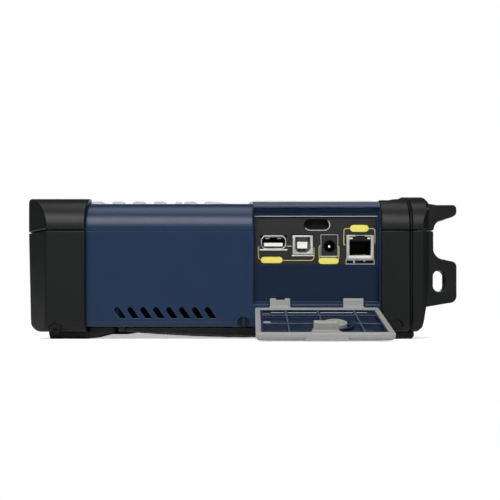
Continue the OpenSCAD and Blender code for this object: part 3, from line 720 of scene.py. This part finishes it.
def dc_jack_details():
    """Thin frame painted pale as the lit outline of the jack, lower lip, round mouth and centre pin."""
    body = (161.4, 44.9, 170.9, 56.8)
    outer, inner = rectangle(*body, 0.3), rectangle(*body, 0.3, 0.26)
    # The frame's pale grey paints the lit outline round the jack.
    edge = ring("dc_jack_edge", outer, inner, PLATE - 0.12, PLATE + 0.3)
    place(edge, "case", "socket_steel", "pale_edge_highlight", soften=0.06)
    lip = box("dc_jack_lip", (161.1, PLATE - 0.25, 44.55), (171.2, PLATE - 0.02, 44.95))
    place(lip, "case", "socket_steel", soften=0.08)
    mouth = lathe("dc_jack_mouth", [(3.5, 0), (3.05, 0), (2.9, 1.2), (2.9, 12.6), (3.3, 12.6)],
                  (JACK_U, 5.72, JACK_Z), (0, 1, 0))
    place(mouth, "case", "panel_black", "socket_dark")
    pin = lathe("dc_jack_pin", [(0, -1.6), (0.55, -1.45), (0.95, -0.9), (1.06, 0), (1.06, 7), (0, 7)],
                (JACK_U, 9.3, JACK_Z), (0, 1, 0), 24)
    place(pin, "case", "socket_steel", "bright_steel_and_highlight")


def lan_details():
    """Steel face, the opening with its latch slot, two lights, eight contacts and the lower lip painted
    bright as its highlight.
    """
    outer = [(175.45, 43.3), (190.35, 43.3), (190.35, 56.5), (186, 56.5), (180, 56.5), (175.45, 56.5)]
    inner = [(177.1, 45.4), (188.7, 45.4), (188.7, 53.5), (185.6, 53.5), (180.2, 53.5), (177.1, 53.5)]
    face = ring("lan_face", outer, inner, PLATE - 0.22, PLATE + 0.2)
    place(face, "case", "socket_steel", soften=0.14)
    dark_liner("lan_liner", lambda inset: rectangle(177.1, 45.4, 188.7, 53.4, 0.05, inset), 6.2, 21.9)
    latch = box("lan_latch_slot", (180.3, PLATE - 0.26, 53.2), (185.5, PLATE + 0.4, 56.2))
    place(latch, "case", "panel_black", "socket_dark", soften=0.08)
    # The lower lip's bright steel paints its highlight.
    lip = box("lan_lip", (177, PLATE - 0.5, 43.75), (188.8, PLATE - 0.2, 45.2))
    place(lip, "case", "socket_steel", "bright_steel_and_highlight", soften=0.13)
    for i, (u0, u1) in enumerate(((177.1, 180.3), (185.5, 188.7))):
        mask = box("lan_mask_%d" % i, (u0, PLATE - 0.27, 53.2), (u1, PLATE + 0.3, 55.75))
        place(mask, "case", "panel_black", "socket_dark", soften=0.05)
    for i, u in enumerate((177.95, 187.65)):
        lamp = box("lan_light_%d" % i, (u - 0.85, PLATE - 0.42, 54.25), (u + 0.85, PLATE, 55.1))
        place(lamp, "case", "label_yellow", "led_cream", soften=0.15)
    for i in range(8):
        u = 179.35 + 1.02 * i
        wire = box("lan_contact_%d" % i, (u - 0.2, 8.5, 45.9), (u + 0.2, 19, 46.3))
        place(wire, "case", "port_metal", "gold", soften=0.05)


def lan_bracket():
    """The open bracket under the network socket with its two fingers, its outline painted pale as a highlight
    and a dark plate behind its opening as painted shade.
    """
    body = (175, 40.55, 190.7, 43.1)
    outer, inner = rectangle(*body, 0.1), rectangle(*body, 0.1, 0.33)
    # The bracket's pale grey paints its lit outline.
    bracket = ring("lan_bracket", outer, inner, PLATE - 0.15, PLATE + 0.4)
    place(bracket, "case", "socket_steel", "pale_edge_highlight", soften=0.06)
    # A dark plate that paints the shade inside the bracket's opening.
    dark = box("lan_bracket_dark", (175.5, PLATE + 1, 40.9), (190.3, PLATE + 1.6, 42.7))
    place(dark, "case", "panel_black", "socket_dark")
    for i, (u, z) in enumerate(((179.6, 41.2), (185.2, 42))):
        finger = box("lan_finger_%d" % i, (u - 0.45, PLATE + 0.1, z), (u + 0.45, PLATE + 0.8, 42.7))
        place(finger, "case", "socket_steel", soften=0.12)


def panel_lines():
    """The printed brackets that tie each label to its sockets."""
    host = [[(129.2, 42.9), (128.5, 43.2), (127.6, 44.2), (127.5, 49.6), (128.1, 50.4)],
            [(143, 50.5), (146, 50.5)],
            [(140.6, 42.7), (156.3, 42.7), (157.3, 43.3), (157.8, 44.3), (157.8, 49.6)]]
    power = [[(161, 42.9), (160.6, 44.2), (160.5, 49.7), (161.2, 50.9)],
             [(170.8, 42.9), (171.3, 44.2), (171.4, 49.9), (171, 50.6)]]
    network = [[(177.6, 60), (174.9, 60), (174.1, 59.3), (174, 51.6), (174.8, 50.9)],
               [(187.3, 60), (190.1, 60), (190.9, 59.2), (190.95, 51.8)]]
    lines = ribbon("panel_lines", host + power + network, 0.42, PLATE - 0.05, PLATE + 0.02)
    place(lines, "case", "label_yellow", "printed_line")


def labels():
    """The three blank labels, with softly rounded faces."""
    spots = ((128.9, 140.7, 41.2, 44.6), (160.3, 171.2, 40.7, 44.1), (177.4, 187.5, 58.2, 62))
    for i, (u0, u1, z0, z1) in enumerate(spots):
        radius = (z1 - z0) / 2
        outline = capsule(u0 + radius, u1 - radius, z0 + radius, radius, 12)
        label = prism("label_%d" % (i + 1), outline, PLATE - 0.3, PLATE)
        place(label, "case", "label_yellow", soften=0.12)
        if i == 0:
            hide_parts("port_labels")


def latch_hole():
    """The funnel that takes the door's latch, with a painted highlight along its lower and right edge."""
    def outline(radius):
        return capsule(LATCH_LEFT, LATCH_RIGHT, LATCH_Z, radius, 14)

    walls = ((3.1, -0.04), (3.0, 0.1), (2.82, 1.2), (2.82, 4.6), (3.1, 4.6))
    funnel = frame_of("latch_funnel", [[(u, PLATE + depth, z) for u, z in outline(r)] for r, depth in walls])
    place(funnel, "case", "panel_black")
    floor = prism("latch_floor", outline(2.8), PLATE + 4.2, PLATE + 4.55)
    place(floor, "case", "panel_black", "socket_dark")
    # A pale strip that paints the highlight along the hole's lower and right edge.
    path = arc((LATCH_LEFT, LATCH_Z), 2.9, 215, 270, 5) + arc((LATCH_RIGHT, LATCH_Z), 2.9, -90, 50, 12)
    rim = ribbon("latch_edge_highlight", [path], 0.42, PLATE - 0.12, PLATE + 0.1)
    place(rim, "case", "panel_black", "pale_edge_highlight")


# ---------------------------------------------------------------- details on the case

def bay_highlight_and_shade():
    """A pale strip painted as the highlight along the top of the plate, and a darker blue sheet painted as
    the shade of the bay below it.
    """
    # Painted highlight along the top of the plate.
    lip = box("bay_edge_highlight", (125.5, 4.46, 66.35), (192.1, 4.66, 66.75))
    place(lip, "case", "socket_steel", "pale_edge_highlight", soften=0.05)
    # Painted shade: a darker blue sheet over the bay below the plate.
    shade_sheet = box("painted_bay_shade", (125, 4.52, 20.4), (192.4, 4.7, 40))
    place(shade_sheet, "case", "case_blue", "bay_shade_blue", soften=0.04)


def wall_details():
    """The ledge under the cooling slots and painted shade in both halves of the round notch beside the bay.
    """
    ledge = box("slot_ledge", (54.9, -0.14, 8.9), (108.2, 0.3, 9.25))
    place(ledge, "case", "case_blue", soften=0.12)
    for i, (u, start, end) in enumerate(((119.95, -90, 84), (119.25, 96, 270))):
        # Near-black half discs that paint the shade inside the notch.
        dark = prism("arch_shade_%d" % i, arc((u, 8.9), 2.7, start, end, 14), 0.95, 1.25)
        place(dark, "case", "case_blue", "socket_dark")


def fascia_ridge():
    """The pale cap on the ridge beside the keys."""
    outline = [(81.0, 75.05), (81.75, 76.55), (84.55, 76.55), (85.1, 75.05), (84.2, 75.05), (82, 75.2)]
    cap = prism("fascia_ridge_cap", outline, 17.4, 124.6)
    place(cap, "case", "key_rubber", soften=0.08)


# ---------------------------------------------------------------- test ports

PORT_U, PORT_Z = 211, 40  # the end panel's inner face and the height of the test ports' axes


def port_profile():
    """The barrel's closed profile of (radius, distance), with the ridges of its thread."""
    crest, root, pitch = 7.9, 7.4, 1.06
    thread = [(crest, 9.1)]
    along = 9.3
    while along < 19.6:
        thread += [(crest, along), (root, along + 0.27), (root, along + 0.45), (crest, along + 0.72)]
        along += pitch
    back = [(crest, -7.9), (crest, 2.4), (7.3, 2.6), (7.3, 8.8)]
    mouth = [(crest, 20.3), (7.3, 20.95), (4.9, 20.95), (4.35, 20.5), (4.35, 11.2), (1.6, 11.2), (1.6, -7.9)]
    return back + thread + mouth


def hex_nut(name, v):
    """The hexagonal flange at the end panel."""
    rows = []
    for along, scale in ((2.52, 0.96), (2.9, 1.0), (5.1, 1.0), (5.48, 0.95)):
        reach = 10.9 * scale
        angles = [math.radians(60 * i) for i in range(6)]
        rows.append([(PORT_U + along, v + reach * math.sin(a), PORT_Z + reach * math.cos(a)) for a in angles])
    return solid(name, rows, 20)


def test_port(index, v):
    """A coaxial socket: threaded barrel, hexagonal flange, insulator and gold centre contact."""
    name = "test_port_%d_" % index
    centre, axis = (PORT_U, v, PORT_Z), (1, 0, 0)
    barrel = lathe(name + "barrel", port_profile(), centre, axis, 64)
    place(barrel, "case", "port_metal")
    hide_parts("rf_port_%d" % index)
    place(hex_nut(name + "nut", v), "case", "port_metal", soften=0.2)
    insulator = lathe(name + "insulator", [(1.7, 11.1), (1.7, 12.6), (4.3, 12.6), (4.3, 11.1)], centre, axis)
    place(insulator, "case", "port_metal", "white_plastic")
    contact = [(0, 10), (0, 13.5), (0.8, 13.5), (0.85, 17), (1.3, 17), (1.52, 16.6), (1.52, 10)]
    place(lathe(name + "contact", contact, centre, axis, 32), "case", "port_metal", "gold")


# ---------------------------------------------------------------- screws

def screw_head(name, centre, radius, axis, finish=None):
    """A pan head with a hexagonal recess, its crown at centre and facing along the axis."""
    axis, side, other = cross_axes(axis)
    rows = []
    head = ((1.0, -1.0, False), (1.0, -0.25, False), (0.86, 0.0, False),
            (0.52, 0.02, True), (0.46, -0.1, True), (0.44, -0.75, True))
    for scale, along, hexagonal in head:
        row = []
        for degrees in range(0, 360, 15):
            reach = radius * scale
            if hexagonal:
                reach *= math.cos(math.radians(30)) / math.cos(math.radians(degrees % 60 - 30))
            angle = math.radians(degrees)
            spoke = side * math.cos(angle) + other * math.sin(angle)
            row.append(Vector(centre) + axis * along + spoke * reach)
        rows.append(row)
    piece = solid(name, rows, 35)
    place(piece, "case", "screw_steel", finish)
    return piece


def screws():
    """Four screws in the battery cover, four in the case's back and four dark ones in the bumpers' sides."""
    down = (0, 0, -1)
    for i, (u, v) in enumerate(((65, 91), (65, 160), (155, 91), (155, 160))):
        head = screw_head("cover_screw_%d" % i, (u, v, 6.95), 2.35, down)
        if i == 0:
            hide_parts("cover_screws")
    for i, (u, v) in enumerate(((50, 9), (50, 171), (116, 9), (116, 171))):
        screw_head("case_screw_%d" % i, (u, v, 8.52), 2.95, down)
    for side, v, way in (("port", -1.05, -1), ("fan", 181.05, 1)):
        screw_head("bumper_screw_low_%s" % side, (19, v, 5.2), 2.4, (0, way, 0), "socket_dark")
        screw_head("bumper_screw_top_%s" % side, (201, v, 7.2), 2.4, (0, way, 0), "socket_dark")


# ---------------------------------------------------------------- the hand strap

STRAP_U0, STRAP_LENGTH = 54, 134.4  # where it leaves the first anchor, and its length to the other
STRAP_V0, STRAP_V1 = 12.2, 61.8
STRAP_TOP = 6.15
STRAP_POINTS = 25                   # on each face of a section


def strap_low(u):
    """The height of the strap's lower face at u, which bows down between the anchors."""
    return 3.5 - 2.9 * math.sin(math.pi * (u - STRAP_U0) / STRAP_LENGTH)


def strap_section(u):
    """The outline across the strap in (v, z): first its crowned, quilted lower face, then its top."""
    thickness = STRAP_TOP - strap_low(u)
    low_face, top_face = [], []
    for i in range(STRAP_POINTS):
        t = i / (STRAP_POINTS - 1)
        v = STRAP_V0 + (STRAP_V1 - STRAP_V0) * t
        edge = min(1.0, min(t, 1 - t) * 9)
        quilt = 0.32 * math.exp(-((t - 0.12) / 0.018) ** 2) + 0.32 * math.exp(-((t - 0.88) / 0.018) ** 2)
        low_face.append((v, STRAP_TOP - (thickness * (0.7 + 0.3 * edge ** 0.45) - quilt)))
        top_face.append((v, STRAP_TOP - 0.35 * (1 - edge ** 0.5)))
    return low_face + top_face[::-1]


def hand_strap():
    """The padded strap under the back, from anchor to anchor, with a slight ripple in its lower face."""
    rows = []
    steps = 96
    gap = 0.05
    for i in range(steps + 1):
        u = STRAP_U0 + gap + (STRAP_LENGTH - 2 * gap) * i / steps
        ripple = 0.06 * math.sin(i * 0.9) + 0.05 * math.sin(i * 0.37 + 1)
        rows.append([(u, v, z + (ripple if z < 5.4 else 0)) for v, z in strap_section(u)])
    strap = solid("hand_strap_pad", rows, 50)
    place(strap, "case", "strap_fabric")
    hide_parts("hand_strap")


def add_stitch(bm, u, v, along):
    """One stitch on the strap's lower face, along it or across it."""
    length, thick = 1.5, 0.34
    lower_face = strap_section(u)[:STRAP_POINTS]
    z = next(height for across, height in reversed(lower_face) if across <= v) - 0.12
    du, dv = (length / 2, thick / 2) if along else (thick / 2, length / 2)
    corners = [(-du, -dv), (du, -dv), (du, dv), (-du, dv)]
    top = [(u + a, v + b, z + 0.3) for a, b in corners]
    low = [(u + a * 0.8, v + b * 0.6, z) for a, b in corners]
    add_solid(bm, [top, low])


def strap_stitching():
    """Two rows of thread along the strap and two across it at each end."""
    bm = bmesh.new()
    pitch = 2.1
    for v in (18.15, 55.85):
        for i in range(60):
            add_stitch(bm, 58 + pitch * i, v, True)
    for u in (57, 63, 179.5, 185.5):
        for i in range(17):
            add_stitch(bm, u, 19.8 + pitch * i, False)
    thread = mesh_from("hand_strap_stitching", bm)
    place(thread, "case", "strap_fabric", "thread")


# ---------------------------------------------------------------- small parts moulded on the door, and highlights and shade painted on it

DOOR_TURN = math.radians(105)
PIN_V, PIN_Z = 2.8, 16.6
PAD_U, PAD_Z = 165.2, 51


def on_door(obj, slot, finish=None, soften=0.0):
    """Turns a piece drawn on the shut door into the open rest position and ties it to the door."""
    pin = at(0, PIN_V, PIN_Z)
    turn = Matrix.Translation(pin) @ Matrix.Rotation(DOOR_TURN, 4, "X") @ Matrix.Translation(-pin)
    obj.data.transform(turn)
    place(obj, "door", slot, finish, soften)


def door_painted_highlights():
    """Painted highlights on the door: pale strips along the upper rib, pale blue strips on the ribs' lit
    edges, and two rest pads, the lower painted with a pale highlight and the upper with a dim one.
    """
    for i, (u0, u1) in enumerate(((134, 141), (142.7, 158), (159.7, 177), (178.7, 184.5))):
        # Pale strips that paint the highlight along the upper rib.
        glint_strip = box("door_rib_glint_%d" % i, (u0, 3.3, 28.05), (u1, 3.55, 28.85))
        on_door(glint_strip, "case_blue", "pale_highlight", 0.1)
    lit_rib_edges = ((128.6, 33.6, 190, 34.3), (128.6, 49.8, 154.5, 50.5), (176, 49.8, 190, 50.5),
            (141.5, 23.5, 142.2, 68), (158.5, 23.5, 159.2, 43), (177.5, 23.5, 178.2, 68))
    for i, (u0, z0, u1, z1) in enumerate(lit_rib_edges):
        # Pale blue strips that paint the highlights on the ribs' lit edges.
        cap = box("door_rib_edge_highlight_%d" % i, (u0, 3.36, z0), (u1, 3.68, z1))
        on_door(cap, "case_blue", "rib_highlight_blue", 0.06)
    # The two rest pads: the lower painted with a pale highlight, the upper with a dim one.
    for name, z, finish in (("door_rest_low", 48.1, "pale_highlight"), ("door_rest_high", 31.3, "dim_highlight")):
        pad = box(name, (129.6, 3.7, z), (133.2, 4.0, z + 1.6))
        on_door(pad, "case_blue", finish, 0.15)


def door_seal_lip():
    """The soft lip that runs round the seal's inner face."""
    outer = [(126.7, 21.4), (190.7, 21.4), (190.7, 69.4), (126.7, 69.4)]
    inner = [(127.4, 22.1), (190, 22.1), (190, 68.7), (127.4, 68.7)]
    lip = ring("seal_lip", outer, inner, 4.1, 4.42)
    on_door(lip, "seal_grey", soften=0.14)


def jack_pad():
    """The pad that closes the power jack: its outer cap in the door's shaded blue, its inner ring and two
    thin dark plates painted as the shadow in two slots.
    """
    cap = lathe("pad_cover", [(0, 0), (5.85, 0), (5.98, 0.13), (5.98, 0.5), (0, 0.5)],
                (PAD_U, 0.22, PAD_Z), (0, 1, 0), 64)
    on_door(cap, "case_blue", "door_blue_painted_light")
    circle = lathe("pad_ring", [(3.6, -0.1), (3.7, 0.22), (4, 0.32), (4.5, 0.32), (4.8, 0.22), (4.9, -0.1)],
                   (PAD_U, 4.6, PAD_Z), (0, 1, 0))
    on_door(circle, "seal_grey")
    # Two thin dark plates that paint the shadow in the pad's slots.
    for i, z in enumerate((50.1, 51.3)):
        slit = box("pad_slit_%d" % i, (163.7, 4.55, z), (167.3, 4.66, z + 0.55))
        on_door(slit, "seal_grey", "seal_shadow")


def latch_details():
    """The lip before the latch, the latch's grip and a dark patch painted as the shade of the notch in the
    left hinge arm.
    """
    scoop = [(148.2, 0.5), (170.8, 0.5), (169, 2.3), (165.8, 3.5), (153.2, 3.5), (150, 2.3)]
    on_door(plate("latch_scoop", scoop, 70.2, 70.46), "seal_grey", soften=0.12)
    for i in range(3):
        v = 5.1 + 0.9 * i
        grip = box("latch_grip_%d" % i, (154.6, v, 63.72), (164.4, v + 0.4, 63.95))
        on_door(grip, "seal_grey", soften=0.08)
    # A near-black patch that paints the shade of the notch at the left hinge arm.
    notch = box("arm_shade_patch", (136.9, -0.57, 21.2), (141.7, 0.3, 21.95))
    place(notch, "door", "seal_grey", "socket_dark")


# ---------------------------------------------------------------- marks on the keys and the display

# Strokes of each mark on a field 2 wide and 4 high.
MARKS = {
    "0": [[(0, 0), (2, 0), (2, 4), (0, 4), (0, 0.01)]],
    "1": [[(0.4, 3.2), (1.2, 4), (1.2, 0)]],
    "2": [[(0, 4), (2, 4), (2, 2.1), (0, 1.9), (0, 0), (2, 0)]],
    "3": [[(0, 4), (2, 4), (2, 0), (0, 0)], [(0.5, 2), (2, 2)]],
    "4": [[(0, 4), (0, 1.9), (2, 1.9)], [(1.5, 3), (1.5, 0)]],
    "5": [[(2, 4), (0, 4), (0, 2.1), (2, 1.9), (2, 0), (0, 0)]],
    "6": [[(2, 4), (0, 4), (0, 0), (2, 0), (2, 2), (0.1, 2)]],
    "7": [[(0, 4), (2, 4), (0.8, 0)]],
    "8": [[(0, 0), (2, 0), (2, 4), (0, 4), (0, 0.01)], [(0.1, 2), (1.9, 2)]],
    "9": [[(0, 0), (2, 0), (2, 4), (0, 4), (0, 2), (1.9, 2)]],
    "dot": [[(0.8, 0.3), (1.4, 0.3)]],
    "minus": [[(0, 2), (2, 2)]],
    "up": [[(0, 1.2), (1, 3), (2, 1.2)]],
    "down": [[(0, 2.8), (1, 1), (2, 2.8)]],
    "left": [[(2, 3), (0.4, 2), (2, 1)]],
    "right": [[(0, 3), (1.6, 2), (0, 1)]],
    "enter": [[(2, 3.4), (2, 1.6), (0, 1.6)], [(0.8, 2.5), (0, 1.6), (0.8, 0.7)]],
    "power": [[(1, 4.2), (1, 2.4)],
              [(0.1, 3.3), (-0.4, 2), (0.1, 0.8), (1, 0.3), (1.9, 0.8), (2.4, 2), (1.9, 3.3)]],
}
KEY_ROWS = {1: ["0", "dot", "minus", "left", "enter"], 2: ["1", "2", "3", "down", "right"],
            3: ["4", "5", "6", "up", "left"], 4: ["7", "8", "9", "minus", "up"]}
KEY_MIDDLES = {1: 27, 2: 52, 3: 74, 4: 96, 5: 143}  # along v, by column
KEY_ROW_U0, KEY_PITCH, KEY_HALF = 33.9, 11.7, 3.3
POWER_KEY_U0 = 86
KEY_TOP = 77.4


def key_mark(key, mark, u, v):
    """A printed mark on a key's top, read with the test ports at the head."""
    size, half_width = 0.95, 0.22
    bm = bmesh.new()
    for path in MARKS[mark]:
        for (x0, y0), (x1, y1) in zip(path, path[1:]):
            a = Vector((x0 - 1, y0 - 2)) * size
            b = Vector((x1 - 1, y1 - 2)) * size
            way = (b - a).normalized() * half_width
            side = Vector((-way.y, way.x))
            corners = [a - way + side, b + way + side, b + way - side, a - way - side]
            heights = (KEY_TOP - 0.05, KEY_TOP + 0.03)
            add_solid(bm, [[(u + c.y, v - c.x, z) for c in corners] for z in heights])
    place(mesh_from(key + "_mark", bm), NODE_BODY[key], "key_rubber", "ink")


def key_marks():
    for row, marks in KEY_ROWS.items():
        for column, mark in zip((5, 4, 3, 2, 1), marks):
            u = KEY_ROW_U0 + KEY_PITCH * (row - 1) + KEY_HALF
            key_mark("key_%d_%d" % (row, column), mark, u, KEY_MIDDLES[column])
    key_mark("power_key", "power", POWER_KEY_U0 + KEY_HALF, 27)


def display_details():
    """The black printed border round the lit area of the display and the four status lights."""
    outer = [(127.5, 24), (193.5, 24), (193.5, 156), (127.5, 156)]
    inner = [(131, 30), (190, 30), (190, 150), (131, 150)]
    sides = ((outer, 75.72), (inner, 75.72), (inner, 75.66), (outer, 75.66))
    border = frame_of("display_border", [[(u, v, z) for u, v in outline] for outline, z in sides])
    place(border, "case", "window_glass", "border_ink")
    for i in range(4):
        led = lathe("status_light_%d" % i, [(0, 0), (0.9, 0), (0.9, 0.25), (0.6, 0.42), (0, 0.48)],
                    (89, 63.5 + 12 * i, 75), (0, 0, 1), 24)
        place(led, "case", "window_glass", "led_cream")


# ---------------------------------------------------------------- battery cover

def cover_details():
    """Finger ridges, a blank rating plate and two long ribs on the battery cover."""
    for i in range(5):
        u = 66 + 2.6 * i
        ridge = plate("cover_ridge_%d" % i, [(u, 112), (u + 1.3, 112), (u + 1.3, 139), (u, 139)], 6.3, 6.75)
        place(ridge, "case", "cover_black", soften=0.15)
    foil = [(98, 100), (146, 100), (147, 101), (147, 150), (146, 151), (98, 151), (97, 150), (97, 101)]
    place(plate("blank_plate", foil, 6.58, 6.72), "case", "cover_black", "plate_foil", soften=0.04)
    for i, v in enumerate((88.5, 162.5)):
        outline = [(70, v - 0.5), (150, v - 0.5), (150, v + 0.5), (70, v + 0.5)]
        place(plate("cover_rib_%d" % i, outline, 6.4, 6.75), "case", "cover_black", soften=0.15)


# ---------------------------------------------------------------- the whole scene

usb_a_details()
usb_b_details()
dc_jack_details()
lan_details()
lan_bracket()
panel_lines()
labels()
latch_hole()
bay_highlight_and_shade()
wall_details()
fascia_ridge()
test_port(1, 52)
test_port(2, 128)
screws()
hand_strap()
strap_stitching()
door_painted_highlights()
door_seal_lip()
jack_pad()
latch_details()
key_marks()
display_details()
cover_details()
make_stage()

for part, radius in SOFT_EDGES.items():
    softened(part, radius)
for part in frame["nodes"]:
    if part.startswith(("key_", "soft_key", "power_key")):
        softened(part, KEY_EDGE, 3)

for part, obj in frame["nodes"].items():
    obj.data.materials.clear()
    obj.data.materials.append(MATERIALS[NODE_SLOT[part]])
